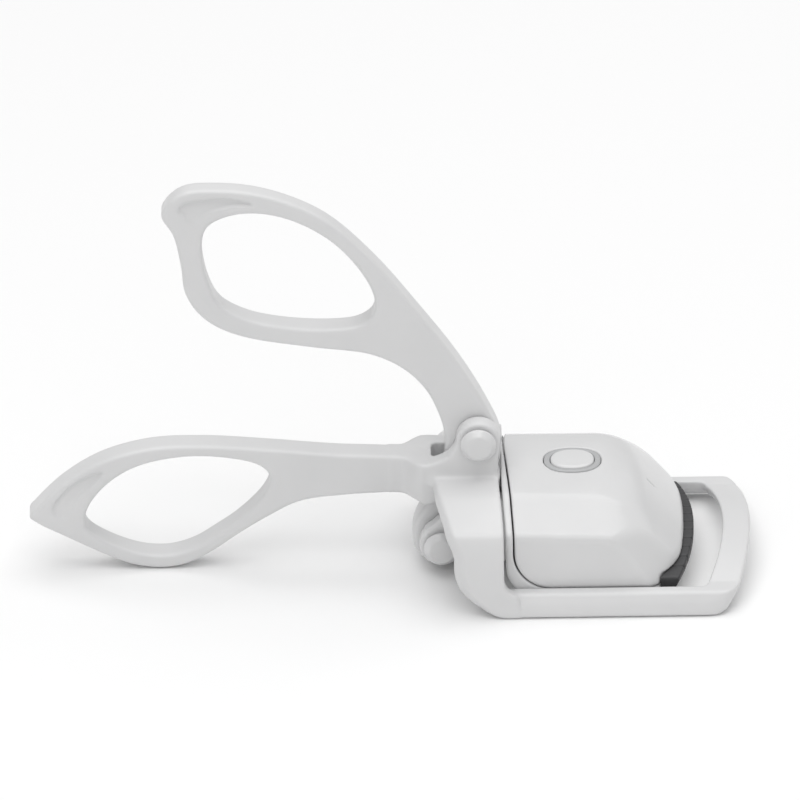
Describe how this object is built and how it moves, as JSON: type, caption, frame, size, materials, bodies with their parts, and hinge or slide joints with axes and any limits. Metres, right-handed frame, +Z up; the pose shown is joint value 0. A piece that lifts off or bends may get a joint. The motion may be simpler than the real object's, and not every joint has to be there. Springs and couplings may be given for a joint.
{
  "type": "eyelash curler",
  "caption": "Heated scissor-type eyelash curler: crossed finger loops drive a heater head along side arms, closing its ribbed pad on an arch bar.",
  "frame": {"origin": "middle of the curler's footprint, on the plane it rests on", "axes": "+X along the curler from the finger loops to the arch bar, +Y across it to its left side, +Z up from the resting plane"},
  "size_m": [0.13, 0.0444, 0.0779],
  "materials": {
    "frame_plastic": "white moulded ABS, soft gloss",
    "handle_plastic": "white moulded ABS, soft gloss",
    "head_plastic": "white moulded ABS, high gloss",
    "cap_plastic": "white moulded ABS, high gloss",
    "button_plastic": "white moulded ABS, gloss",
    "ring_plastic": "translucent light-guide plastic, satin",
    "pad_silicone": "dark grey ribbed silicone, matt",
    "plate_aluminium": "rolled sheet",
    "film_polyimide": "amber polyimide film",
    "black_plastic": "moulded, matt",
    "pale_plastic": "moulded, satin",
    "board": "green solder mask",
    "led": "clear lens over phosphor",
    "battery_pouch": "foil pouch",
    "foam": "closed-cell foam",
    "socket_steel": "stamped steel",
    "pin_steel": "turned steel",
    "lead_red": "silicone insulation",
    "lead_black": "PVC insulation"
  },
  "bodies": {
    "frame": {"frame": "frame_plastic", "pivot_shaft": "pin_steel", "pivot_cap_right": "cap_plastic", "pivot_cap_left": "cap_plastic"},
    "upper_handle": {"upper_handle": "handle_plastic", "link_shaft": "pin_steel", "link_cap_right": "cap_plastic", "link_cap_left": "cap_plastic"},
    "head": {"head_upper_shell": "head_plastic", "head_lower_shell": "head_plastic", "light_ring": "ring_plastic", "heating_pad": "pad_silicone", "heater_plate": "plate_aluminium", "heating_film": "film_polyimide", "pad_holder": "black_plastic", "thermal_fuse": "pale_plastic", "circuit_board": "board", "controller_chip": "black_plastic", "ring_led_rear": "led", "ring_led_front": "led", "tact_switch": "black_plastic", "battery": "battery_pouch", "battery_foam": "foam", "usb_socket": "socket_steel", "shell_screw_1": "pin_steel", "shell_screw_2": "pin_steel", "shell_screw_3": "pin_steel", "shell_screw_4": "pin_steel", "heater_lead_right": "lead_red", "heater_lead_left": "lead_red", "battery_lead_right": "lead_black", "battery_lead_left": "lead_black"},
    "button": {"power_button": "button_plastic", "switch_plunger": "pale_plastic"}
  },
  "joints": [
    {"name": "handle_pivot", "type": "hinge", "parent": "frame", "child": "upper_handle", "pos_m": [0.0161, 0, 0.0272], "axis": [0, -1, 0], "range_deg": [0, 13.2]},
    {"name": "head_slide", "type": "slide", "parent": "frame", "child": "head", "axis": [1, 0, 0], "range_m": [0, 0.0052]},
    {"name": "button_press", "type": "slide", "parent": "head", "child": "button", "axis": [0, 0, -1], "range_m": [0, 0.0005], "stiffness_N_per_m": 400}
  ],
  "couplings": [
    {"joint": "head_slide", "follows": "handle_pivot", "m_per_rad": 0.022}
  ]
}
